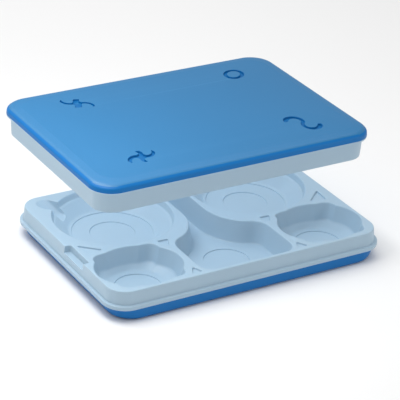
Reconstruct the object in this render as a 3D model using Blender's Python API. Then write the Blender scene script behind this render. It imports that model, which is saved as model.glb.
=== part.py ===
"""An insulated meal tray with a lift-off lid. Metres, +Z up, underside on z = 0, +X along the long side.

Four closed solids: the blue outer shell and the pale liner of the base, the blue cover and the pale liner of
the lid. Each liner is modelled together with the foam between it and its shell. The lid is where the
photograph shows it, lifted off the base and set back from it. Lengths in this file are in millimetres and
scaled once, where a mesh is made.
"""

import bpy
import numpy as np

# Driving dimensions: the outline, the base's height, the height of the lid's blue edge and its way to the
# rear.
LENGTH, WIDTH = 530.0, 370.0
RIM = 54.0
LID = 204.5
LID_BACK = 58.0

# Cutters reach this far past the surface that they open.
PAST = 6.0

# Side profiles of the four pieces, upward: height, inset from the outline, corner radius, further inset of
# ends.
# Those of the lid count from its blue edge.
LINER_SIDE = (
    (3.3, 15.3, 38, 9.9),
    (5.7, 9.2, 38, 9.6),
    (9.0, 6.8, 38, 8.5),
    (15.0, 5.9, 38, 6.1),
    (22.2, 5.4, 37.5, 3.1),
    (22.5, 0.5, 40, 0),
    (23.4, 0, 40, 0),
    (28.0, 0, 40, 0),
    (29.2, 0.7, 39.5, 0),
    (29.8, 4.4, 37, 0),
    (51.6, 7.0, 35, 0),
    (53.3, 7.7, 34.5, 0),
    (RIM, 9.2, 33.5, 0),
)
SHELL_OUTSIDE = (
    (0, 13, 42, 10.0),
    (0.7, 8.4, 42, 10.1),
    (2.6, 5.0, 42, 10.0),
    (6.0, 3.2, 41, 9.5),
    (12.0, 2.4, 40, 7.3),
    (22.2, 2.0, 39, 3.0),
)
SHELL_INSIDE = (
    (3.0, 15.0, 38, 9.8),
    (5.4, 8.9, 38, 9.5),
    (8.7, 6.4, 38, 8.3),
    (15.0, 5.6, 38, 5.9),
    (22.2, 5.1, 37.5, 2.9),
    (30.0, 5.1, 37.5, 2.9),
)
LID_SIDE = (
    (-38.0, 9.2, 33, 0),
    (-37.4, 8.4, 33.5, 0),
    (-4.0, 7.2, 34, 0),
    (-2.9, 6.6, 34.5, 0),
    (-2.6, 0.9, 39.5, 0),
    (-0.6, 0.5, 40, 0),
    (-0.3, 1.0, 39.5, 0),
    (-0.2, 3.9, 37, 0),
    (5.8, 4.4, 37, 0),
    (8.0, 5.8, 37, 0),
    (9.8, 9.0, 36, 0),
    (11.2, 14.5, 34.5, 0),
    (12.0, 21.0, 32.5, 0),
)
LID_HOLLOW = (
    (-44.0, 13.6, 29.5, 0),
    (-38.0, 13.6, 29.5, 0),
    (-36.0, 14.4, 29, 0),
    (-20.0, 15.8, 29, 0),
    (-12.0, 18.6, 29, 0),
    (-8.6, 24.0, 28, 0),
    (-7.5, 32.0, 26, 0),
)
COVER_OUTSIDE = (
    (0, 0.3, 40, 0),
    (6.5, 0.8, 40, 0),
    (8.8, 1.7, 39.5, 0),
    (11.0, 4.0, 38.5, 0),
    (12.9, 8.0, 37, 0),
    (14.2, 14.0, 35, 0),
    (15.2, 22.0, 31, 0),
    (16.6, 40.0, 26, 0),
    (18.0, 80.0, 20, 0),
    (19.0, 150.0, 12, 0),
)
COVER_INSIDE = (
    (-6.0, 3.4, 37.5, 0),
    (5.8, 3.9, 37.5, 0),
    (8.1, 5.3, 37.5, 0),
    (10.0, 8.4, 36.5, 0),
    (11.5, 13.8, 35, 0),
    (12.4, 20.5, 33, 0),
)


def clear_scene():
    for old in list(bpy.data.objects):
        bpy.data.objects.remove(old, do_unlink=True)


def rounded_rectangle(inset, radius, z, ends=0.0, count=9):
    """Corner arcs of count + 1 points, anticlockwise from the +X +Y corner, inset from LENGTH x WIDTH."""
    half_x, half_y = LENGTH / 2 - inset - ends, WIDTH / 2 - inset
    points = []
    for corner, (sx, sy) in enumerate(((1, 1), (-1, 1), (-1, -1), (1, -1))):
        x, y = sx * (half_x - radius), sy * (half_y - radius)
        angle = np.radians(90 * corner + np.linspace(0, 90, count + 1))
        points += [(x + radius * np.cos(a), y + radius * np.sin(a), z) for a in angle]
    return np.array(points)


def sided(profile, datum=0.0):
    """The loops of a side profile, with its heights counted from the datum."""
    return [rounded_rectangle(inset, radius, datum + z, ends) for z, inset, radius, ends in profile]


def directions(count):
    """Unit vectors in the plan, one for each of so many equal turns."""
    angle = np.linspace(0, 2 * np.pi, count, endpoint=False)
    return np.column_stack([np.cos(angle), np.sin(angle)])


def level(plan, z):
    """The points of a plan outline at height z."""
    return np.column_stack([plan[:, :2], np.full(len(plan), z)])


def grown(outline, by, z):
    """An anticlockwise outline moved out by so much along its normals, at height z. A minus moves it in."""
    step = np.roll(outline[:, :2], -1, axis=0) - np.roll(outline[:, :2], 1, axis=0)
    normal = np.column_stack([step[:, 1], -step[:, 0]])
    return level(outline[:, :2] + normal / np.linalg.norm(normal, axis=1, keepdims=True) * by, z)


def eased(corners, steps):
    """An outline through corners (x, y, setback). A corner is rounded by a curve that starts its setback
    before it and ends as far after it."""
    corners = np.array(corners, float)
    points, setback = corners[:, :2], corners[:, 2]
    made = []
    for k, point in enumerate(points):
        if setback[k] == 0:
            made.append(point[None])
            continue
        t = np.linspace(0, 1, steps)[:, None]
        ways = [points[k - 1] - point, points[(k + 1) % len(points)] - point]
        start, end = (point + way / np.linalg.norm(way) * setback[k] for way in ways)
        made.append((1 - t) ** 2 * start + 2 * t * (1 - t) * point + t**2 * end)
    return np.vstack(made)


def resample(points, count):
    """The closed outline as count points at equal steps along it."""
    closed = np.vstack([points, points[:1]])
    along = np.concatenate([[0], np.cumsum(np.linalg.norm(np.diff(closed, axis=0), axis=1))])
    at = np.linspace(0, along[-1], count, endpoint=False)
    return np.column_stack([np.interp(at, along, closed[:, k]) for k in range(2)])


def anticlockwise(outline):
    ahead = np.roll(outline, -1, axis=0)
    area = np.sum(outline[:, 0] * ahead[:, 1] - outline[:, 1] * ahead[:, 0])
    return outline if area > 0 else outline[::-1]


def add_object(name, points, faces):
    mesh = bpy.data.meshes.new(name)
    mesh.from_pydata([tuple(p) for p in points], [], faces)
    obj = bpy.data.objects.new(name, mesh)
    bpy.context.scene.collection.objects.link(obj)
    return obj


def loft(name, rings):
    """A closed solid through rings of equal point counts, with flat caps and its faces turned outward."""
    count = len(rings[0])
    points = np.vstack(rings) / 1000
    faces = [list(range(count))[::-1]]
    for k in range(len(rings) - 1):
        low, high = k * count, (k + 1) * count
        ahead = [(i + 1) % count for i in range(count)]
        faces += [(low + i, low + j, high + j, high + i) for i, j in enumerate(ahead)]
    faces.append(list(range((len(rings) - 1) * count, len(rings) * count)))
    volume = 0.0
    for face in faces:
        first = points[face[0]]
        volume += sum(np.dot(first, np.cross(points[a], points[b])) for a, b in zip(face[1:], face[2:]))
    return add_object(name, points, faces if volume > 0 else [face[::-1] for face in faces])


def joined(name, parts):
    """One object of several meshes that don't touch each other."""
    points, faces = [], []
    for part in parts:
        base = len(points)
        points += [tuple(v.co) for v in part.data.vertices]
        faces += [[base + i for i in polygon.vertices] for polygon in part.data.polygons]
        bpy.data.objects.remove(part, do_unlink=True)
    return add_object(name, points, faces)


def cut(body, cutter):
    """Takes the cutter's solid out of the body, and the cutter out of the scene."""
    modifier = body.modifiers.new("cut", "BOOLEAN")
    modifier.operation = "DIFFERENCE"
    modifier.solver = "EXACT"
    modifier.object = cutter
    graph = bpy.context.evaluated_depsgraph_get()
    mesh = bpy.data.meshes.new_from_object(body.evaluated_get(graph))
    body.modifiers.clear()
    body.data = mesh
    bpy.data.objects.remove(cutter, do_unlink=True)


def material(name, colour, roughness):
    made = bpy.data.materials.new(name)
    made.use_nodes = True
    shader = made.node_tree.nodes["Principled BSDF"]
    shader.inputs["Base Color"].default_value = (*colour, 1)
    shader.inputs["Roughness"].default_value = roughness
    made.diffuse_color = (*colour, 1)
    return made


# Bowls: centre of the right one, half axes of the rim's oval, and of the rounded square that joins it.
BOWL_AT = (177.0, -107.0)
BOWL_OVAL = (76.0, 65.0)
BOWL_SQUARE = (61.0, 59.5)
BOWL_POWER = 7
# Depth below the rim, inset of the wall, share of the round floor, radius of that floor.
BOWL_WALL = (
    (40.2, 0, 1, 39.0),
    (39.2, 0, 1, 40.0),
    (39.0, 0, 1, 45.0),
    (36.6, 15.0, 0.7, 55.0),
    (31.0, 9.5, 0.3, 60.0),
    (24.0, 6.0, 0, 0),
    (2.2, 0, 0, 0),
    (0.7, -0.6, 0, 0),
    (-0.1, -2.0, 0, 0),
    (-PAST, -2.0, 0, 0),
)


def bowl(side):
    """A deep bowl at the front of one side. Its rim joins an oval and a rounded square, so it has shallow
    scallops. The outline turns into the round floor towards the bottom, and the middle of the floor is a
    round step down."""
    unit = directions(48)
    oval = 1 / np.linalg.norm(unit / BOWL_OVAL, axis=1)
    square = (np.abs(unit / BOWL_SQUARE) ** BOWL_POWER).sum(axis=1) ** (-1 / BOWL_POWER)
    centre = np.array(BOWL_AT) * (side, 1)
    rings = []
    for depth, inset, share, radius in BOWL_WALL:
        reach = (1 - share) * (np.maximum(oval, square) - inset) + share * radius
        rings.append(level(centre + unit * reach[:, None], RIM - depth))
    return loft("bowl", rings)


# Plate wells: centre of the right one, then depth below the rim and radius.
WELL_AT = (134.0, 63.0)
WELL_WALL = (
    (34.0, 38.4),
    (32.8, 39.6),
    (31.7, 69.8),
    (30.4, 71.4),
    (29.9, 74.0),
    (27.6, 78.5),
    (11.8, 97.5),
    (9.6, 101.6),
    (2.2, 104.4),
    (0.7, 105.2),
    (-0.1, 106.8),
    (-PAST, 106.8),
)


def plate_well(side):
    """A round well for a plate, at the rear of one side: a steep rim, a narrow ledge, a slope down to the
    foot ring of the plate, and a second ring step in the middle of the floor."""
    centre, unit = np.array(WELL_AT) * (side, 1), directions(60)
    return loft("plate_well", [level(centre + radius * unit, RIM - depth) for depth, radius in WELL_WALL])


# Middle compartment: the right half of its outline, from the rear, as x, y and setback, then depth and
# growth.
MIDDLE_CORNERS = (
    (21.6, 159.0, 12.0),
    (21.4, -6.0, 30.0),
    (50.0, -44.5, 17.0),
    (89.8, -62.0, 22.0),
    (89.8, -171.6, 28.0),
)
MIDDLE_WALL = (
    (39.4, -13.0),
    (38.4, -10.5),
    (35.2, -8.0),
    (29.0, -6.4),
    (2.2, 0),
    (0.7, 0.6),
    (-0.1, 2.0),
    (-PAST, 2.0),
)


def middle_compartment():
    """The deep middle compartment: a narrow neck between the plate wells, which opens out between the
    bowls."""
    left = [(-x, y, setback) for x, y, setback in MIDDLE_CORNERS]
    outline = resample(anticlockwise(eased([*MIDDLE_CORNERS, *left[::-1]], 6)), 84)
    return loft("middle_compartment", [grown(outline, by, RIM - depth) for depth, by in MIDDLE_WALL])


# A round foot ring is stepped into the middle compartment's floor: centre, then depth below the rim and
# radius.
FOOT_RING_AT = (0.0, -95.0)
FOOT_RING_WALL = ((40.6, 38.5), (38.9, 39.5))


def foot_ring():
    unit = directions(40)
    return loft("foot_ring", [level(FOOT_RING_AT + radius * unit, RIM - depth) for depth, radius in FOOT_RING_WALL])


# Finger scoops: depth, the upper end's x and y, the lower end's x and y, and the half width.
SCOOP = (
    (22.0, 196.0, 121.0, 190.0, 114.0, 5.0),
    (19.0, 200.0, 126.0, 189.0, 113.0, 10.0),
    (11.0, 209.0, 137.0, 189.0, 113.0, 13.5),
    (2.0, 219.0, 149.0, 189.0, 113.0, 15.5),
    (0.5, 219.5, 149.6, 189.0, 113.0, 16.2),
    (-0.1, 220.0, 150.2, 189.0, 113.0, 17.6),
    (-PAST, 220.0, 150.2, 189.0, 113.0, 17.6),
)


def scoop(side):
    """A finger scoop in a rear corner. It slopes down through the rim of the plate well, to lift a plate
    out."""
    rings = []
    for depth, *ends, radius in SCOOP:
        upper, lower = np.array(ends).reshape(2, 2)
        heading = np.arctan2(*(lower - upper)[::-1])
        half = heading + np.linspace(-np.pi / 2, np.pi / 2, 9)
        turn = np.column_stack([np.cos(half), np.sin(half)]) * radius
        rings.append(level(np.vstack([lower + turn, upper - turn]) * (side, 1), RIM - depth))
    return loft("scoop", rings)


# Small three-cornered pockets in the webs between compartments: corners on the right side, and depth.
POCKETS = (
    ((239.0, -5.0), (205.0, -35.0), (236.0, -41.0)),
    ((112.0, -48.0), (89.0, -48.0), (100.0, -70.0)),
    ((101.0, -149.0), (113.0, -169.0), (92.0, -169.0)),
)
POCKET_DEPTH = 5.0
POCKET_ROUND = 4.5


def pocket(corners, side):
    rounded = eased([(side * x, y, POCKET_ROUND) for x, y in corners], 5)
    outline = resample(anticlockwise(rounded), 15)
    wall = ((POCKET_DEPTH, -0.8), (0.6, 0), (-0.1, 0.7), (-PAST, 0.7))
    return loft("pocket", [grown(outline, by, RIM - depth) for depth, by in wall])


# The notch is open to the left edge, between the bowl and the plate well: two corners and depth.
NOTCH = ((-275.0, -65.5), (-246.8, 0.5))
NOTCH_DEPTH = 12.0


def edge_notch():
    (x0, y0), (x1, y1) = NOTCH
    outline = eased([(x0, y0, 2.5), (x1, y0, 2.5), (x1, y1, 2.5), (x0, y1, 2.5)], 5)
    return loft("edge_notch", [level(outline, RIM - NOTCH_DEPTH), level(outline, RIM + PAST)])


def base_liner():
    """The pale moulded liner of the base, with its foam: a block inside the shell, the lip that covers the
    shell's edge, the upper band and the flat rim, with every compartment taken out of it."""
    body = loft("base_liner", sided(LINER_SIDE))
    cut(body, joined("wells", [bowl(-1), bowl(1), plate_well(-1), plate_well(1), middle_compartment()]))
    cut(body, joined("scoops", [scoop(-1), scoop(1)]))
    webs = [pocket(corners, side) for side in (-1, 1) for corners in POCKETS]
    cut(body, joined("small_cuts", [*webs, edge_notch(), foot_ring()]))
    return body


def base_shell():
    """The blue outer shell of the base: a pan 3 mm thick with a well-rounded bottom edge and sloping ends."""
    body = loft("base_shell", sided(SHELL_OUTSIDE))
    cut(body, loft("inside", sided(SHELL_INSIDE)))
    return body


def set_back(body):
    """Moves a piece of the lid, made over the middle of the base, to where the lid is held."""
    for vertex in body.data.vertices:
        vertex.co.y += LID_BACK / 1000
    return body


def lid_liner():
    """The pale liner of the lid, with its foam: the skirt that stands on the rim of the base, the thin
    flange under the edge of the cover, and the block inside the cover. The underside is hollow, for the
    crockery."""
    body = loft("lid_liner", sided(LID_SIDE, LID))
    cut(body, loft("hollow", sided(LID_HOLLOW, LID)))
    return set_back(body)


# Figures sunk into the lid's top: their centres and the height of their floor over the lid's blue edge.
CROSS_AT = (-151.0, 113.0)
RING_AT = (161.0, 111.0)
WAVE_AT = (161.0, -113.0)
FIGURE_FLOOR = 14.4
# The round figure is a groove between two ovals that lie on the slant. Half axes of its middle, and half
# width.
RING_OVAL = (18.5, 15.0)
GROOVE_HALF_WIDTH = 2.6
# The wave is two arcs of one circle: radius, and how far the circles' centres lie from the middle in x and y.
WAVE_RADIUS, WAVE_REACH = 14.8, 10.5
# The crosses have two long arms and two short ones, which curve. Reach, and radius of the middle.
CROSS_LONG, CROSS_SHORT, CROSS_CORE = 31.0, 18.0, 6.8
# The direction in which the long arms start, and how far they turn on the way to their ends, in degrees.
REAR_CROSS_TURN = (-12.0, -36.0)
FRONT_CROSS_TURN = (-22.0, 42.0)


def sunk(outline, place):
    """A cutter for a figure sunk into the top of the lid, from its plan outline about (0, 0)."""
    outline = anticlockwise(outline) + np.array(place)
    floor, top = LID + FIGURE_FLOOR, LID + FIGURE_FLOOR + PAST
    return loft("figure", [grown(outline, -0.6, floor), grown(outline, 0.6, top)])


def ring_figure():
    slant = np.array([[1, 1], [-1, 1]]) / np.sqrt(2)
    middle = np.array(RING_OVAL)
    figure = sunk(directions(36) * (middle + GROOVE_HALF_WIDTH) @ slant, RING_AT)
    island = directions(36) * (middle - GROOVE_HALF_WIDTH) @ slant + np.array(RING_AT)
    below, above = LID + FIGURE_FLOOR - 1, LID + FIGURE_FLOOR + 2 * PAST
    cut(figure, loft("island", [grown(island, 0.6, below), grown(island, -0.6, above)]))
    return figure


def wave_figure():
    """Two arcs, one over and one under the middle, as a stroke that is narrower at its ends and in its
    middle."""
    first = np.radians(np.linspace(170, -45, 12))
    arc = np.column_stack([np.cos(first), np.sin(first)]) * WAVE_RADIUS + (-WAVE_REACH, WAVE_REACH)
    path = np.vstack([arc, -arc[::-1]])
    step = np.gradient(path, axis=0)
    across = np.column_stack([-step[:, 1], step[:, 0]]) / np.linalg.norm(step, axis=1, keepdims=True)
    along = np.linspace(0, 1, len(path))
    half = np.interp(along, [0, 0.08, 0.3, 0.5, 0.7, 0.92, 1], [1.8, 3.2, 3.2, 2.4, 3.2, 3.2, 1.8])[:, None]
    return sunk(np.vstack([path - across * half, (path + across * half)[::-1]]), WAVE_AT)


def cross_figure(base, twist, place):
    """The reach of an arm of half width w, at angle d from it, is w / |sin d| up to the arm's end. The
    outline is the largest of the arms' and the core's reach, turned by the twist towards the ends of the
    arms."""
    angle = np.linspace(0, 2 * np.pi, 720, endpoint=False)
    off = angle - base
    long_arm = np.minimum(CROSS_LONG, GROOVE_HALF_WIDTH / np.maximum(np.abs(np.sin(off)), 0.01))
    short_arm = np.minimum(CROSS_SHORT, GROOVE_HALF_WIDTH / np.maximum(np.abs(np.cos(off)), 0.01))
    reach = np.maximum(np.maximum(long_arm, short_arm), CROSS_CORE)
    turned = angle + twist * ((reach - CROSS_CORE) / (CROSS_LONG - CROSS_CORE)) ** 1.5
    outline = reach[:, None] * np.column_stack([np.cos(turned), np.sin(turned)])
    return sunk(resample(outline, 64), place)


def lid_cover():
    """The blue cover of the lid: a pan 3 mm thick turned over, with a soft shoulder, a slightly domed top
    and four sunk figures."""
    body = loft("lid_cover", sided(COVER_OUTSIDE, LID))
    cut(body, loft("inside", sided(COVER_INSIDE, LID)))
    x, y = CROSS_AT
    rear_cross = cross_figure(*np.radians(REAR_CROSS_TURN), (x, y))
    front_cross = cross_figure(*np.radians(FRONT_CROSS_TURN), (x, -y))
    cut(body, joined("figures", [ring_figure(), wave_figure(), rear_cross, front_cross]))
    return set_back(body)


clear_scene()
blue = material("blue_plastic", (0.035, 0.20, 0.52), 0.35)
pale = material("pale_blue_plastic", (0.55, 0.68, 0.78), 0.4)
for make, look in ((base_shell, blue), (base_liner, pale), (lid_liner, pale), (lid_cover, blue)):
    solid = make()
    solid.data.materials.clear()
    solid.data.materials.append(look)
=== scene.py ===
"""An insulated meal tray with its lid held above it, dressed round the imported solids.

Lengths are in millimetres and become metres where a mesh is made. +X runs along the long side, the
bowls are at the front and the plate wells at the rear. The lid is level, above the base and set back
from it.
"""

import bpy
import numpy as np
from mathutils import Matrix, Vector


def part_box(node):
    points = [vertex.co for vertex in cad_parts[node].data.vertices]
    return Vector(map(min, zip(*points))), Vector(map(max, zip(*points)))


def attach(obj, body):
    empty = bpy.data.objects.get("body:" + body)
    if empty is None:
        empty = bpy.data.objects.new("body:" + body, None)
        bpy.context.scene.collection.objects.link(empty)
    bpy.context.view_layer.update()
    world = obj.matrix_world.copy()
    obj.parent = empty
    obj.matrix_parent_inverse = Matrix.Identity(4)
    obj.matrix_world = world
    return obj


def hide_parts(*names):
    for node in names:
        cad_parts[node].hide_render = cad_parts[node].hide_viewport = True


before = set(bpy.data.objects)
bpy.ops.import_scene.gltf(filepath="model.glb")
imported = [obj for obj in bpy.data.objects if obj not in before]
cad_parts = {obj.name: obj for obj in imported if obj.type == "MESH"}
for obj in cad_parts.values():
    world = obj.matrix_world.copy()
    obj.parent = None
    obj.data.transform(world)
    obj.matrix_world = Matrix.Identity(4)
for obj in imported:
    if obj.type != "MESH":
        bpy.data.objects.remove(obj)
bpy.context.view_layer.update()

# Camera.
# The photograph looks down on a front corner from a distance, with a long lens. Its horizon is turned
# by 3.4 degrees.

MM = 0.001
CAMERA_AZIMUTH, CAMERA_ELEVATION, CAMERA_ROLL = np.radians([-32.2, 27.2, 3.4])
CAMERA_DISTANCE = 3319.6
CAMERA_TARGET = np.array([63.4, 101.3, 22.5])
CAMERA_LENS = 168.0


def camera_axes(azimuth, elevation, roll):
    """Right, up and back of a camera: back points from the target to the camera, and right is level
    before the roll turns right and up about back."""
    level_back = np.array([np.sin(azimuth), -np.cos(azimuth), 0.0])
    back = level_back * np.cos(elevation) + np.array([0.0, 0.0, np.sin(elevation)])
    level = np.array([np.cos(azimuth), np.sin(azimuth), 0.0])
    upright = np.cross(back, level)
    right = level * np.cos(roll) + upright * np.sin(roll)
    return right, np.cross(back, right), back


camera = bpy.data.objects.new("camera", bpy.data.cameras.new("camera"))
bpy.context.scene.collection.objects.link(camera)
camera.data.lens = CAMERA_LENS
camera.data.sensor_width = 36.0
camera.data.clip_end = 50.0
right, up, back = camera_axes(CAMERA_AZIMUTH, CAMERA_ELEVATION, CAMERA_ROLL)
camera_place = Vector((CAMERA_TARGET + back * CAMERA_DISTANCE) * MM)
camera_turn = Matrix(np.column_stack([right, up, back]).tolist())
camera.matrix_world = Matrix.Translation(camera_place) @ camera_turn.to_4x4()
bpy.context.scene.camera = camera

# Base shell.
# The outer pan of the base: one blue injection moulding with a soft bottom edge, open at the top. The
# liner drops into it, and the liner's lip covers its upper edge.

liner_low, liner_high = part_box("base_liner")
LENGTH = (liner_high[0] - liner_low[0]) / MM
WIDTH = (liner_high[1] - liner_low[1]) / MM
RIM = liner_high[2] / MM


def eased(corners, steps=7):
    """A profile with soft corners. The last value of each row is a setback s. A corner P with a
    setback becomes the curve (1 - t)^2 A + 2 t (1 - t) P + t^2 B, where A and B lie s before and s
    after P on the straight runs."""
    rows = np.asarray(corners, float)
    points, setback = rows[:, :-1], rows[:, -1]
    t = np.linspace(0, 1, steps)[:, None]
    made = [points[:1]]
    for k in range(1, len(points) - 1):
        before, after = points[k - 1] - points[k], points[k + 1] - points[k]
        if setback[k] == 0:
            made.append(points[k : k + 1])
            continue
        a = points[k] + before / np.linalg.norm(before) * setback[k]
        b = points[k] + after / np.linalg.norm(after) * setback[k]
        made.append((1 - t) ** 2 * a + 2 * t * (1 - t) * points[k] + t**2 * b)
    made.append(points[-1:])
    return np.vstack(made)


def rounded_box(levels, quarter=24):
    """The grid of a rounded box, one loop of points for each level (height, inset, corner radius,
    further inset of the short ends). A point is the centre of its corner plus radius * (cos, sin)
    over a quarter turn, and the straight sides lie between the quarters."""
    height, inset, radius, ends = np.asarray(levels, float).T[..., None]
    quarters = np.repeat(np.arange(4), quarter + 1)
    angle = np.radians(90) * quarters + np.tile(np.linspace(0, np.pi / 2, quarter + 1), 4)
    side_x, side_y = np.array([1, -1, -1, 1])[quarters], np.array([1, 1, -1, -1])[quarters]
    x = side_x * (LENGTH / 2 - inset - ends - radius) + radius * np.cos(angle)
    y = side_y * (WIDTH / 2 - inset - radius) + radius * np.sin(angle)
    return np.stack([x, y, np.broadcast_to(height, x.shape)], axis=-1)


def skin(name, grid):
    """A closed solid over a grid of loops: four-sided faces between each loop and the next, and one
    flat face at each end. The faces are turned over where the signed volume, the sum of a . (b x c)
    over triangles, is negative."""
    loops, count = grid.shape[:2]
    low = np.arange(loops - 1)[:, None] * count + np.arange(count)
    ahead = np.arange(loops - 1)[:, None] * count + np.roll(np.arange(count), -1)
    sides = np.stack([low, ahead, ahead + count, low + count], axis=-1).reshape(-1, 4)
    points = grid.reshape(-1, 3)
    a, b, c, d = (points[sides[:, k]] for k in range(4))
    ends = [points[:count], points[-count:][::-1]]
    volume = np.einsum("ij,ij->", a, np.cross(b, c)) + np.einsum("ij,ij->", a, np.cross(c, d))
    volume -= sum(np.einsum("j,ij->", end[0], np.cross(end[1:-1], end[2:])) for end in ends)
    faces = sides.tolist() + [list(range(count))[::-1], list(range((loops - 1) * count, loops * count))]
    if volume < 0:
        faces = [face[::-1] for face in faces]
    mesh = bpy.data.meshes.new(name)
    mesh.from_pydata(points * MM, [], faces)
    piece = bpy.data.objects.new(name, mesh)
    bpy.context.scene.collection.objects.link(piece)
    return piece


def finish_surface(piece, sharp=32.0):
    """Smooth shading that breaks at sharp edges, with large faces holding their own normals."""
    piece.data.shade_smooth()
    piece.data.set_sharp_from_angle(angle=np.radians(sharp))
    weigh = piece.modifiers.new("even_normals", "WEIGHTED_NORMAL")
    weigh.keep_sharp = True


# Rows of the side profiles are height, inset, corner radius, further inset of the short ends, and
# setback.
SHELL_TOP = 22.2
shell_profile = eased(
    (
        (0.0, 120.0, 20, 10.0, 0),
        (0.0, 3.3, 41, 10.4, 9.0),
        (SHELL_TOP, 2.0, 39, 3.0, 0.6),
        (SHELL_TOP, 5.1, 37.5, 2.9, 0.5),
        (3.0, 6.6, 38, 10.0, 6.5),
        (3.0, 120.0, 20, 10.0, 0),
    )
)
base_shell = skin("base_shell_moulding", rounded_box(shell_profile))
finish_surface(base_shell)


def node_group(name, inputs, outputs):
    """An empty shader group with its input and output sockets."""
    group = bpy.data.node_groups.new(name, "ShaderNodeTree")
    for socket, kind, value in inputs:
        made = group.interface.new_socket(socket, in_out="INPUT", socket_type=kind)
        made.default_value = value
    for socket, kind in outputs:
        group.interface.new_socket(socket, in_out="OUTPUT", socket_type=kind)
    entry, leave = group.nodes.new("NodeGroupInput"), group.nodes.new("NodeGroupOutput")
    return group, entry, leave


def moulded_grain():
    """The fine spark-eroded grain of a plastic moulding, with broad soft waves where the wall cooled
    unevenly. Height = fine noise * Grain + broad noise * Wave. Tone is a slow cloud, from 0 to 1."""
    group, entry, leave = node_group(
        "moulded_grain",
        [("Grain", "NodeSocketFloat", 0.5), ("Wave", "NodeSocketFloat", 0.5)],
        [("Height", "NodeSocketFloat"), ("Tone", "NodeSocketFloat")],
    )
    nodes, links = group.nodes, group.links
    place = nodes.new("ShaderNodeTexCoord")
    noises = []
    for scale, detail in ((1400.0, 2.0), (16.0, 1.0), (5.0, 3.0)):
        noise = nodes.new("ShaderNodeTexNoise")
        noise.inputs["Scale"].default_value = scale
        noise.inputs["Detail"].default_value = detail
        links.new(place.outputs["Object"], noise.inputs["Vector"])
        noises.append(noise)
    grain = nodes.new("ShaderNodeMath")
    grain.operation = "MULTIPLY"
    links.new(noises[0].outputs["Fac"], grain.inputs[0])
    links.new(entry.outputs["Grain"], grain.inputs[1])
    total = nodes.new("ShaderNodeMath")
    total.operation = "MULTIPLY_ADD"
    links.new(noises[1].outputs["Fac"], total.inputs[0])
    links.new(entry.outputs["Wave"], total.inputs[1])
    links.new(grain.outputs[0], total.inputs[2])
    links.new(total.outputs[0], leave.inputs["Height"])
    links.new(noises[2].outputs["Fac"], leave.inputs["Tone"])
    return group


def rubbed_edges():
    """Where a moulding is rubbed: the mask follows the convex edges and is broken up by a noise.
    Mask = smooth step of pointiness * broken noise * Amount."""
    group, entry, leave = node_group(
        "rubbed_edges", [("Amount", "NodeSocketFloat", 0.5)], [("Mask", "NodeSocketFloat")]
    )
    nodes, links = group.nodes, group.links
    geometry = nodes.new("ShaderNodeNewGeometry")
    edge = nodes.new("ShaderNodeMapRange")
    edge.interpolation_type = "SMOOTHSTEP"
    edge.inputs["From Min"].default_value = 0.515
    edge.inputs["From Max"].default_value = 0.60
    links.new(geometry.outputs["Pointiness"], edge.inputs["Value"])
    place, broken = nodes.new("ShaderNodeTexCoord"), nodes.new("ShaderNodeTexNoise")
    broken.inputs["Scale"].default_value = 60.0
    broken.inputs["Detail"].default_value = 4.0
    links.new(place.outputs["Object"], broken.inputs["Vector"])
    spread = nodes.new("ShaderNodeMath")
    spread.operation = "MULTIPLY"
    links.new(edge.outputs["Result"], spread.inputs[0])
    links.new(broken.outputs["Fac"], spread.inputs[1])
    mask = nodes.new("ShaderNodeMath")
    mask.operation = "MULTIPLY"
    links.new(spread.outputs[0], mask.inputs[0])
    links.new(entry.outputs["Amount"], mask.inputs[1])
    links.new(mask.outputs[0], leave.inputs["Mask"])
    return group


GRAIN, RUBBED = moulded_grain(), rubbed_edges()


def moulded_plastic(name, dark, light, worn, roughness, grain, wave, specular, subsurface):
    """A satin moulded plastic: two close tones in slow clouds, a rubbed tone on the edges, and a
    grained surface."""
    made = bpy.data.materials.new(name)
    made.use_nodes = True
    nodes, links = made.node_tree.nodes, made.node_tree.links
    shader = nodes["Principled BSDF"]
    surface = nodes.new("ShaderNodeGroup")
    surface.node_tree = GRAIN
    surface.inputs["Grain"].default_value = grain
    surface.inputs["Wave"].default_value = wave
    edges = nodes.new("ShaderNodeGroup")
    edges.node_tree = RUBBED
    edges.inputs["Amount"].default_value = 0.7
    tone = nodes.new("ShaderNodeMix")
    tone.data_type = "RGBA"
    tone.inputs["A"].default_value = (*dark, 1)
    tone.inputs["B"].default_value = (*light, 1)
    links.new(surface.outputs["Tone"], tone.inputs["Factor"])
    wear = nodes.new("ShaderNodeMix")
    wear.data_type = "RGBA"
    wear.inputs["B"].default_value = (*worn, 1)
    links.new(tone.outputs["Result"], wear.inputs["A"])
    links.new(edges.outputs["Mask"], wear.inputs["Factor"])
    links.new(wear.outputs["Result"], shader.inputs["Base Color"])
    gloss = nodes.new("ShaderNodeMapRange")
    gloss.inputs["To Min"].default_value = roughness - 0.05
    gloss.inputs["To Max"].default_value = roughness + 0.05
    links.new(surface.outputs["Tone"], gloss.inputs["Value"])
    links.new(gloss.outputs["Result"], shader.inputs["Roughness"])
    bump = nodes.new("ShaderNodeBump")
    bump.inputs["Strength"].default_value = 0.35
    bump.inputs["Distance"].default_value = 0.00012
    links.new(surface.outputs["Height"], bump.inputs["Height"])
    links.new(bump.outputs["Normal"], shader.inputs["Normal"])
    shader.inputs["Specular IOR Level"].default_value = specular
    shader.inputs["Subsurface Weight"].default_value = subsurface
    shader.inputs["Subsurface Radius"].default_value = (0.6, 0.9, 1.0)
    shader.inputs["Subsurface Scale"].default_value = 0.004
    return made


# The shell's own deep blue. The lid cover's sides also take it, as painted shade.
SHELL_BLUE_AND_SIDE_SHADE = moulded_plastic(
    "shell_blue_and_painted_side_shade",
    dark=(0.002, 0.145, 0.435),
    light=(0.003, 0.158, 0.462),
    worn=(0.020, 0.200, 0.500),
    roughness=0.42,
    grain=0.6,
    wave=2.0,
    specular=0.25,
    subsurface=0.0,
)
base_shell.data.materials.append(SHELL_BLUE_AND_SIDE_SHADE)
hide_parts("base_shell")
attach(base_shell, "tray")

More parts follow.
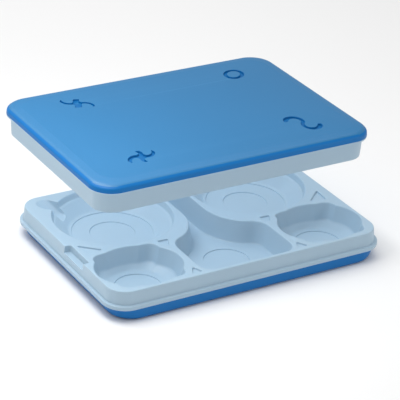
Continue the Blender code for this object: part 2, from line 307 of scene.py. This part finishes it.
# Base liner.
# The pale inner moulding of the base, filled with foam and welded over the shell: a lip, an upright
# band and a flat rim, with all the compartments formed in it.

LIP_LOW, LIP_HIGH = 22.5, 29.5


def solid_of_levels(name, centre, unit, reach, heights):
    """A closed solid of loops about a centre: point = centre + unit direction * reach. Each loop has
    its own reaches and one height."""
    plan = np.asarray(centre) + unit * reach[..., None]
    height = np.broadcast_to(heights[:, None, None], (*reach.shape, 1))
    return skin(name, np.concatenate([plan, height], axis=-1))


def directions(count):
    """Unit directions (cos, sin) at equal steps round a full turn."""
    angle = np.linspace(0, 2 * np.pi, count, endpoint=False)
    return np.column_stack([np.cos(angle), np.sin(angle)])


# Each bowl's rim joins an oval and a rounded square, so that it has shallow scallops with creases
# between them. Rows are depth below the rim, inset of the wall, share of the round floor, radius of
# that floor, and setback.
BOWL_AT = (177.0, -107.0)
BOWL_OVAL, BOWL_SQUARE, BOWL_POWER = (76.0, 65.0), (61.0, 59.5), 7
BOWL_WALL = (
    (-4.0, -2.2, 0, 55.0, 0),
    (-0.02, -2.2, 0, 55.0, 0),
    (0.10, -0.1, 0, 55.0, 1.9),
    (30.0, 7.5, 0.15, 58.0, 3.5),
    (39.0, 17.0, 0.9, 50.0, 5.0),
    (39.0, 17.0, 1.0, 39.8, 0.3),
    (40.8, 17.0, 1.0, 39.4, 0.3),
    (40.8, 17.0, 1.0, 12.0, 0),
)


def bowl(side):
    """The hollow of one bowl. The rim's reach is the larger of an oval,
    1 / sqrt((cos/a)^2 + (sin/b)^2), and a rounded square, (|cos/c|^7 + |sin/d|^7)^(-1/7). A loop's
    reach mixes the inset rim with a circle."""
    unit = directions(192)
    oval = 1 / np.linalg.norm(unit / BOWL_OVAL, axis=1)
    square = (np.abs(unit / BOWL_SQUARE) ** BOWL_POWER).sum(axis=1) ** (-1 / BOWL_POWER)
    depth, inset, share, radius = eased(BOWL_WALL, 8).T[..., None]
    reach = (1 - share) * (np.maximum(oval, square) - inset) + share * radius
    centre = (side * BOWL_AT[0], BOWL_AT[1])
    return solid_of_levels("bowl_hollow", centre, unit, reach, RIM - depth[:, 0])


# Each plate well follows a plate: a steep rim, a narrow ledge, a slope, a foot ring and a lower disc
# in the middle. Rows are depth below the rim, radius and setback.
WELL_AT = (134.0, 63.0)
WELL_WALL = (
    (-4.0, 106.8, 0),
    (-0.02, 106.8, 0),
    (0.1, 104.9, 1.9),
    (10.2, 101.3, 1.6),
    (11.5, 97.8, 1.2),
    (29.6, 75.9, 3.0),
    (30.2, 70.6, 0.3),
    (31.9, 70.1, 0.3),
    (32.8, 39.4, 0.3),
    (34.4, 38.9, 0.3),
    (34.4, 10.0, 0),
)


def plate_well(side):
    """The hollow of one plate well, turned about its upright axis."""
    depth, radius = eased(WELL_WALL, 6).T
    unit = directions(240)
    reach = np.repeat(radius[:, None], len(unit), axis=1)
    centre = (side * WELL_AT[0], WELL_AT[1])
    return solid_of_levels("plate_well_hollow", centre, unit, reach, RIM - depth)


# The middle compartment is a neck between the plate wells that opens out between the bowls. Rows are
# x, y and setback of the corners of its right half, from the rear. The second list gives depth below
# the rim, inset and setback.
MIDDLE_CORNERS = (
    (0.0, 159.0, 0),
    (21.6, 159.0, 20.0),
    (21.4, -6.0, 30.0),
    (50.0, -44.5, 17.0),
    (89.8, -62.0, 22.0),
    (89.8, -171.6, 28.0),
    (0.0, -171.6, 0),
)
MIDDLE_WALL = (
    (-4.0, -2.5, 0),
    (-0.02, -2.5, 0),
    (0.1, 0.0, 2.2),
    (31.0, 7.0, 3.0),
    (39.4, 9.6, 2.8),
    (39.4, 12.5, 0),
)


def grown(outline, by):
    """Outlines moved along their normals: outline + normal * by, where the normal is at right angles
    to the step from the point before to the point after, on an anticlockwise outline."""
    step = np.roll(outline, -1, axis=-2) - np.roll(outline, 1, axis=-2)
    normal = np.stack([step[..., 1], -step[..., 0]], axis=-1)
    return outline + normal / np.linalg.norm(normal, axis=-1, keepdims=True) * by


def evenly(outline, count):
    """The closed outline as so many points at equal steps along it."""
    closed = np.vstack([outline, outline[:1]])
    along = np.concatenate([[0], np.cumsum(np.linalg.norm(np.diff(closed, axis=0), axis=1))])
    at = np.linspace(0, along[-1], count, endpoint=False)
    return np.column_stack([np.interp(at, along, closed[:, k]) for k in range(2)])


def walled(name, outline, wall, top):
    """The hollow under an outline: for each row (depth, inset) of the wall, the outline moved in by
    the inset, at that depth below the top, which is a height or a function of x and y."""
    depth, inset = wall.T
    plan = np.stack([grown(outline, -move) for move in inset])
    datum = top(plan[..., 0], plan[..., 1]) if callable(top) else np.full(plan.shape[:2], float(top))
    height = datum - depth[:, None]
    return skin(name, np.concatenate([plan, height[..., None]], axis=-1))


def middle_compartment():
    """The hollow of the middle compartment: the right half and its mirror image as one outline."""
    half = eased(MIDDLE_CORNERS, 14)
    outline = np.vstack([half[::-1], half[1:-1] * (-1, 1)])
    return walled("middle_hollow", evenly(outline, 360), eased(MIDDLE_WALL, 9), RIM)


# A round foot ring is stepped into the floor of the middle compartment. Rows are depth, growth of the
# radius and setback.
FOOT_RING_AT, FOOT_RING_RADIUS = (0.0, -95.0), 39.8
FOOT_RING_WALL = (
    (38.0, 0.4, 0),
    (39.4, 0.4, 0),
    (39.5, 0.1, 0.1),
    (41.1, -0.2, 0.3),
    (41.1, -20.0, 0),
)


def foot_ring():
    """A shallow round hollow."""
    depth, grow = eased(FOOT_RING_WALL, 4).T
    unit = directions(144)
    reach = np.repeat((FOOT_RING_RADIUS + grow)[:, None], len(unit), axis=1)
    return solid_of_levels("foot_ring", FOOT_RING_AT, unit, reach, RIM - depth)


# A finger scoop in each rear corner slopes down through the rim of the plate well, to lift a plate
# out. Rows are depth, the upper end's x and y, the lower end's x and y, the half width and the
# setback.
SCOOP = (
    (-4.0, 220.0, 150.2, 189.0, 113.0, 17.8, 0),
    (-0.02, 220.0, 150.2, 189.0, 113.0, 17.8, 0),
    (0.1, 219.6, 149.7, 189.0, 113.0, 15.8, 1.9),
    (20.5, 201.0, 127.0, 189.0, 113.0, 12.0, 6.0),
    (22.0, 196.0, 121.0, 190.0, 114.0, 5.0, 0),
)


def scoop(side):
    """A hollow with two half-round ends: the loop is half a circle about the lower end and half about
    the upper one."""
    depth, *ends, radius = eased(SCOOP, 8).T[..., None]
    upper, lower = np.stack(ends[:2], axis=-1), np.stack(ends[2:], axis=-1)
    heading = np.arctan2(lower[0, 0, 1] - upper[0, 0, 1], lower[0, 0, 0] - upper[0, 0, 0])
    half = heading + np.linspace(-np.pi / 2, np.pi / 2, 22)
    turn = np.stack([np.cos(half), np.sin(half)], axis=-1)
    plan = np.concatenate([lower + turn * radius[..., None], upper - turn * radius[..., None]], axis=1)
    height = np.broadcast_to(RIM - depth[..., None], (*plan.shape[:2], 1))
    return skin("scoop_hollow", np.concatenate([plan * (side, 1), height], axis=-1))


# Small pockets in the webs between compartments save plastic: three corners each, on both sides of
# the tray. Rows of the wall are depth, inset and setback.
POCKETS = (
    ((239.0, -5.0), (205.0, -35.0), (236.0, -41.0)),
    ((112.0, -48.0), (89.0, -48.0), (100.0, -70.0)),
    ((101.0, -149.0), (113.0, -169.0), (92.0, -169.0)),
)
POCKET_SETBACK = 6
POCKET_WALL = (
    (-4.0, -1.5, 0),
    (-0.02, -1.5, 0),
    (0.1, -0.1, 1.2),
    (3.2, 0.3, 0.4),
    (3.2, 0.75, 0),
)


def pocket(corners, side):
    """A three-cornered hollow with eased corners."""
    corners = np.array(corners) * (side, 1)
    (ax, ay), (bx, by) = corners[1] - corners[0], corners[2] - corners[0]
    corners = corners if ax * by > ay * bx else corners[::-1]
    middle = (corners[0] + corners[2]) / 2
    around = np.vstack([middle, corners, middle])
    setback = np.array([0, POCKET_SETBACK, POCKET_SETBACK, POCKET_SETBACK, 0])[:, None]
    outline = evenly(eased(np.hstack([around, setback]), 9)[:-1], 60)
    return walled("pocket_hollow", outline, eased(POCKET_WALL, 6), RIM)


# A notch is open to the left edge, between the bowl and the plate well: two corners, the depth, and
# the setbacks of its outer and inner corners. Rows of the wall are depth, inset and setback.
NOTCH_LOW, NOTCH_HIGH, NOTCH_DEPTH = (-275.0, -65.5), (-246.8, 0.5), 12.0
NOTCH_SETBACKS = (3, 4)
NOTCH_WALL = (
    (-4.0, -1.6, 0),
    (-0.02, -1.6, 0),
    (0.1, -0.1, 1.4),
    (NOTCH_DEPTH, 0.6, 0.9),
    (NOTCH_DEPTH, 1.6, 0),
)


def edge_notch():
    """A hollow with four eased corners, whose outer side lies past the edge."""
    (x0, y0), (x1, y1) = NOTCH_LOW, NOTCH_HIGH
    outer, inner = NOTCH_SETBACKS
    middle = (x0, 0.5 * (y0 + y1), 0)
    corners = (middle, (x0, y0, outer), (x1, y0, inner), (x1, y1, inner), (x0, y1, outer), middle)
    outline = evenly(eased(corners, 8)[:-1], 96)
    return walled("notch_hollow", outline, eased(NOTCH_WALL, 6), RIM)


def one_mesh(name, parts):
    """Several separate solids as one object."""
    points, faces = [], []
    for part in parts:
        shift = sum(len(p) for p in points)
        flat = np.empty(len(part.data.vertices) * 3)
        part.data.vertices.foreach_get("co", flat)
        points.append(flat.reshape(-1, 3))
        faces += [[shift + i for i in polygon.vertices] for polygon in part.data.polygons]
        bpy.data.objects.remove(part, do_unlink=True)
    mesh = bpy.data.meshes.new(name)
    mesh.from_pydata(np.vstack(points), [], faces)
    whole = bpy.data.objects.new(name, mesh)
    bpy.context.scene.collection.objects.link(whole)
    return whole


def hollow_out(piece, parts, slot=0):
    """Takes the separate solids out of the piece. The cut faces take that material slot."""
    cutter = one_mesh("cutter", parts)
    cutter.data.polygons.foreach_set("material_index", [slot] * len(cutter.data.polygons))
    modifier = piece.modifiers.new("hollow", "BOOLEAN")
    modifier.operation = "DIFFERENCE"
    modifier.solver = "EXACT"
    modifier.object = cutter
    graph = bpy.context.evaluated_depsgraph_get()
    mesh = bpy.data.meshes.new_from_object(piece.evaluated_get(graph))
    piece.modifiers.clear()
    piece.data = mesh
    bpy.data.objects.remove(cutter, do_unlink=True)


liner_profile = eased(
    (
        (3.3, 120.0, 20, 10.0, 0),
        (3.3, 7.0, 38, 10.2, 7.0),
        (22.3, 5.4, 37.5, 3.0, 0.1),
        (LIP_LOW, 0.0, 40, 0, 0.9),
        (LIP_HIGH, 0.0, 40, 0, 1.3),
        (29.8, 4.7, 37, 0, 0.6),
        (52.0, 7.0, 35, 0, 0.0),
        (RIM, 7.3, 34.7, 0, 1.9),
        (RIM, 14.0, 30, 0, 0),
    )
)
base_liner = skin("base_liner_moulding", rounded_box(liner_profile))
bowls_and_wells = [hollow(side) for hollow in (bowl, plate_well) for side in (-1, 1)]
hollow_out(base_liner, [*bowls_and_wells, middle_compartment(), edge_notch()])
pockets = [pocket(corners, side) for corners in POCKETS for side in (-1, 1)]
hollow_out(base_liner, [scoop(-1), scoop(1), foot_ring(), *pockets])
finish_surface(base_liner)
PALE = moulded_plastic(
    "pale_moulded_plastic",
    dark=(0.362, 0.500, 0.612),
    light=(0.377, 0.515, 0.627),
    worn=(0.46, 0.57, 0.67),
    roughness=0.42,
    grain=0.5,
    wave=1.4,
    specular=0.5,
    subsurface=0.12,
)
base_liner.data.materials.append(PALE)
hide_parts("base_liner")
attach(base_liner, "tray")

# Lid liner.
# The lower half of the lid: one pale injection moulding, filled with foam and welded under the cover. It
# is the skirt that stands on the base's rim, hollow underneath, and a thin flange that closes the
# cover's lower edge.

cover_low, cover_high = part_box("lid_cover")
LID, LID_BACK = cover_low[2] / MM, (cover_low[1] + cover_high[1]) / 2 / MM
lid_profile = eased(
    (
        (LID - 7.5, 120.0, 20, 0, 0),
        (LID - 7.5, 18.0, 29, 0, 9.0),
        (LID - 38.0, 13.8, 29.5, 0, 1.0),
        (LID - 38.0, 8.7, 33.5, 0, 1.0),
        (LID - 3.0, 7.1, 34, 0, 0.5),
        (LID - 2.7, 0.6, 39.6, 0, 0.6),
        (LID - 0.35, 0.6, 39.6, 0, 0.5),
        (LID - 0.3, 3.9, 37, 0, 0.1),
        (LID + 6.0, 4.4, 37, 0, 0.0),
        (LID + 11.0, 9.6, 36, 0, 4.5),
        (LID + 12.0, 21.0, 32.5, 0, 0.0),
        (LID + 12.0, 120.0, 20, 0, 0),
    )
)


def set_back(piece):
    """Moves a piece of the lid, made over the middle of the base, to where the lid is held."""
    piece.data.transform(Matrix.Translation((0, LID_BACK * MM, 0)))


lid_liner = skin("lid_liner_moulding", rounded_box(lid_profile))
set_back(lid_liner)
finish_surface(lid_liner)
lid_liner.data.materials.append(PALE)
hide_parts("lid_liner")
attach(lid_liner, "lid")

# Lid cover.
# The upper half of the lid: one blue injection moulding, a shallow pan turned over and welded to the
# liner's shoulder, with soft edges, a slightly domed top and four small sunk figures, one near each
# corner. Its sides carry painted shade, a deeper blue than its top, and the figures carry a deeper
# painted shade still.

COVER_EDGE = 15.2
INSIDE_TOP = 12.4
DOME = 3.8
TOP_INSET, TOP_RADIUS = 22.0, 31.0


def lid_top(x, y):
    """Height of the lid's top: the edge height plus a dome that falls off as the product of
    1 - |x/a|^4 and 1 - |y/b|^4."""
    along = 1 - np.minimum(np.abs(x) / (LENGTH / 2 - TOP_INSET), 1) ** 4
    across = 1 - np.minimum(np.abs(y) / (WIDTH / 2 - TOP_INSET), 1) ** 4
    return LID + COVER_EDGE + DOME * along * across


cover_edge = eased(
    (
        (LID + INSIDE_TOP, 100.0, 30, 0, 0),
        (LID + INSIDE_TOP, 21.0, 33, 0, 0),
        (LID + 10.6, 7.2, 36.5, 0, 4.5),
        (LID + 5.8, 3.9, 37.5, 0, 1.0),
        (LID, 3.5, 37.5, 0, 0.4),
        (LID, 0.35, 40, 0, 0.5),
        (LID + 7.4, 0.9, 40, 0, 2.2),
        (LID + 13.0, 6.2, 38, 0, 4.6),
        (LID + COVER_EDGE, TOP_INSET, TOP_RADIUS, 0, 0),
    ),
    9,
)

# The top is a run of loops from the shoulder to a narrow strip about the middle line. The way from
# one to the other is raised to a power, which sets the loops closer together near the shoulder.
TOP_LOOPS, TOP_POWER, STRIP_HALF_WIDTH = 35, 1.4, 3.0
way = np.linspace(0, 1, TOP_LOOPS + 1)[1:]
inset = TOP_INSET + way**TOP_POWER * (WIDTH / 2 - TOP_INSET - STRIP_HALF_WIDTH)
radius = np.minimum(TOP_RADIUS, WIDTH / 2 - inset - 0.5)
top_levels = np.column_stack([np.zeros(TOP_LOOPS), inset, radius, np.zeros(TOP_LOOPS)])
cover_grid = rounded_box(np.vstack([cover_edge, top_levels]), 30)
top_grid = cover_grid[len(cover_edge) :]
top_grid[..., 2] = lid_top(top_grid[..., 0], top_grid[..., 1])
lid_cover = skin("lid_cover_moulding", cover_grid)

# The figures are narrow flat-bottomed grooves with soft upper edges. Rows are depth, inset and
# setback.
GROOVE_WALL = (
    (-4.0, -1.3, 0),
    (-0.02, -1.3, 0),
    (0.1, -0.1, 1.0),
    (3.7, 0.4, 0.5),
    (3.8, 1.0, 0),
)
GROOVE = eased(GROOVE_WALL, 6)

# The round figure is an oval on the slant. Centre, half axes of the groove's middle line, and half
# width.
RING_AT, RING_OVAL, RING_HALF_WIDTH = (161.0, 111.0), (18.5, 15.0), 3.1


def closed_tube(name, grid):
    """A closed ring of loops, whose last loop is its first one again."""
    piece = skin(name, grid)
    work = piece.data
    keep = [p for p in work.polygons if len(p.vertices) == 4]
    loops, count = grid.shape[:2]
    last = (loops - 1) * count
    faces = [[i % last if i >= last else i for i in p.vertices] for p in keep]
    mesh = bpy.data.meshes.new(name)
    mesh.from_pydata([v.co[:] for v in work.vertices][:last], [], faces)
    piece.data = mesh
    return piece


def ring_groove():
    """A groove round an oval: the wall's section on both sides of the oval's line (a cos t, b sin t),
    closed above the surface, carried once round and turned by 45 degrees."""
    depth, inset = GROOVE.T
    across = np.concatenate([RING_HALF_WIDTH - inset, -(RING_HALF_WIDTH - inset)[::-1]])
    below = np.concatenate([depth, depth[::-1]])
    slant = np.array([[1, 1], [-1, 1]]) / np.sqrt(2)
    half_axes = np.array(RING_OVAL) + across[:, None]
    plan = (directions(120)[:, None] * half_axes) @ slant + RING_AT
    grid = np.concatenate([plan, (lid_top(plan[..., 0], plan[..., 1]) - below)[..., None]], axis=-1)
    return closed_tube("ring_groove", np.concatenate([grid, grid[:1]]))


# The wave is two arcs of the same radius. Its centre, the radius, how far the arcs' centres lie from
# the wave's centre along x and along y, and the directions in degrees where the first arc starts and
# ends. Then the half width along the way from end to end.
WAVE_AT, WAVE_RADIUS, WAVE_REACH, WAVE_ARC = (161.0, -113.0), 14.8, 10.5, (170, -45)
WAVE_WAY = (0, 0.03, 0.1, 0.5, 0.9, 0.97, 1)
WAVE_HALF_WIDTH = (2.4, 3.6, 4.4, 2.6, 4.4, 3.6, 2.4)


def anticlockwise(outline):
    """The outline turned over where its signed area is negative."""
    ahead = np.roll(outline, -1, axis=0)
    area = np.sum(outline[:, 0] * ahead[:, 1] - outline[:, 1] * ahead[:, 0])
    return outline if area > 0 else outline[::-1]


def wave_groove():
    """A wave on the slant: an arc on one side of the centre and the same arc turned by half a turn on
    the other side, as a stroke whose half width changes along the way."""
    turn = np.radians(np.linspace(*WAVE_ARC, 40))
    arc = np.column_stack([np.cos(turn), np.sin(turn)]) * WAVE_RADIUS + (-WAVE_REACH, WAVE_REACH)
    path = np.vstack([arc, -arc[::-1]])
    step = np.gradient(path, axis=0)
    across = np.column_stack([-step[:, 1], step[:, 0]]) / np.linalg.norm(step, axis=1, keepdims=True)
    half = np.interp(np.linspace(0, 1, len(path)), WAVE_WAY, WAVE_HALF_WIDTH)[:, None]
    outline = anticlockwise(np.vstack([path - across * half, (path + across * half)[::-1]])) + WAVE_AT
    return walled("wave_groove", evenly(outline, 220), GROOVE, lid_top)


# The crosses have a round core, two long arms and two short ones, which curve. Each has its place,
# the direction in which the long arms start and how far they turn on the way to their ends in
# degrees, then the arms' lengths and half widths, the long pair first. All share the core's radius and
# the number of times that the outline is smoothed.
CROSS_CORE, SMOOTHINGS = 8.5, 3
REAR_CROSS = ((-151.0, 113.0), (-12.0, -36.0), (31.0, 18.0), (2.9, 5.2))
FRONT_CROSS = ((-151.0, -113.0), (-22.0, 42.0), (28.0, 19.0), (4.2, 3.4))


def cross_groove(place, turns, lengths, half_widths):
    """The reach of an arm of half width w, at angle d from it, is w / |sin d| up to the arm's end.
    The outline is the largest of the arms' and the core's reach, turned by a twist that grows as
    ((reach - core) / (length - core))^1.5, and its corners are then smoothed."""
    start, twist = np.radians(turns)
    angle = np.linspace(0, 2 * np.pi, 2880, endpoint=False)
    from_long = np.maximum(np.abs(np.sin(angle - start)), 0.01)
    from_short = np.maximum(np.abs(np.cos(angle - start)), 0.01)
    long_arm = np.minimum(lengths[0], half_widths[0] / from_long)
    short_arm = np.minimum(lengths[1], half_widths[1] / from_short)
    reach = np.maximum(np.maximum(long_arm, short_arm), CROSS_CORE)
    turned = angle + twist * ((reach - CROSS_CORE) / (lengths[0] - CROSS_CORE)) ** 1.5
    outline = evenly(reach[:, None] * np.column_stack([np.cos(turned), np.sin(turned)]), 260)
    for _ in range(SMOOTHINGS):
        outline = (np.roll(outline, 1, axis=0) + 2 * outline + np.roll(outline, -1, axis=0)) / 4
    return walled("cross_groove", outline + place, GROOVE, lid_top)


BLUE = moulded_plastic(
    "blue_moulded_plastic",
    dark=(0.010, 0.160, 0.370),
    light=(0.013, 0.173, 0.395),
    worn=(0.040, 0.230, 0.470),
    roughness=0.36,
    grain=0.6,
    wave=2.0,
    specular=0.5,
    subsurface=0.0,
)
# Painted shade: the sunk figures take a darker blue than the top, standing in for the shade in the
# grooves.
FIGURE_SHADE_BLUE = moulded_plastic(
    "shaded_blue_moulded_plastic",
    dark=(0.001, 0.115, 0.330),
    light=(0.002, 0.125, 0.350),
    worn=(0.020, 0.190, 0.420),
    roughness=0.42,
    grain=0.6,
    wave=2.0,
    specular=0.2,
    subsurface=0.0,
)
for tone in (BLUE, FIGURE_SHADE_BLUE, SHELL_BLUE_AND_SIDE_SHADE):
    lid_cover.data.materials.append(tone)

# Painted shade: the sides and the inside take the same deep blue as the shell, as if turned from the
# light, while the top keeps the lighter blue. A face belongs to the top where the upward part of its
# normal is large enough.
TOP_SLOT, FIGURE_SHADE_SLOT, SIDE_SHADE_SLOT = 0, 1, 2
TOP_STARTS = 0.8
for face in lid_cover.data.polygons:
    face.material_index = SIDE_SHADE_SLOT if face.normal.z < TOP_STARTS else TOP_SLOT
figures = [ring_groove(), wave_groove(), cross_groove(*REAR_CROSS), cross_groove(*FRONT_CROSS)]
hollow_out(lid_cover, figures, FIGURE_SHADE_SLOT)
set_back(lid_cover)
finish_surface(lid_cover)
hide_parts("lid_cover")
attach(lid_cover, "lid")

# Stage.
# A plain pale floor under a large soft light, with a small light over the left end, a weak one from
# the right and an even white surrounding. Lengths in this section are in metres.

floor_mesh = bpy.data.meshes.new("floor")
FLOOR_REACH = 8.0
floor_corners = [(x * FLOOR_REACH, y * FLOOR_REACH, 0) for x, y in ((-1, -1), (1, -1), (1, 1), (-1, 1))]
floor_mesh.from_pydata(floor_corners, [], [(0, 1, 2, 3)])
floor = bpy.data.objects.new("floor", floor_mesh)
bpy.context.scene.collection.objects.link(floor)
floor_look = bpy.data.materials.new("pale_floor")
floor_look.use_nodes = True
floor_shader = floor_look.node_tree.nodes["Principled BSDF"]
floor_shader.inputs["Base Color"].default_value = (0.90, 0.90, 0.90, 1)
floor_shader.inputs["Roughness"].default_value = 0.9
floor_mesh.materials.append(floor_look)


def soft_light(name, place, target, width, height, power):
    """A rectangle of light at a place, turned to face the target."""
    light = bpy.data.lights.new(name, "AREA")
    light.shape = "RECTANGLE"
    light.size, light.size_y, light.energy = width, height, power
    lamp = bpy.data.objects.new(name, light)
    bpy.context.scene.collection.objects.link(lamp)
    lamp.location = place
    lamp.rotation_euler = (Vector(target) - Vector(place)).to_track_quat("-Z", "Y").to_euler()


soft_light("overhead", (-0.4, 0.9, 2.3), (-0.1, 0.6, 0.0), 4.2, 4.2, 66.0)
soft_light("left_key", (-0.36, 0.0, 0.62), (-0.24, 0.0, 0.2), 0.6, 0.25, 1.9)
soft_light("right_fill", (1.3, -1.3, 0.6), (0.1, 0, 0.1), 0.8, 0.6, 4.2)

# The photograph shows the base lit as if the lid were not there, so the lid casts no shadow.
for piece in (lid_liner, lid_cover):
    piece.visible_shadow = False

world = bpy.data.worlds.new("studio")
world.use_nodes = True
surrounding = world.node_tree.nodes["Background"]
surrounding.inputs["Color"].default_value = (1, 1, 1, 1)
surrounding.inputs["Strength"].default_value = 0.44
bpy.context.scene.world = world
bpy.context.scene.view_settings.view_transform = "Standard"
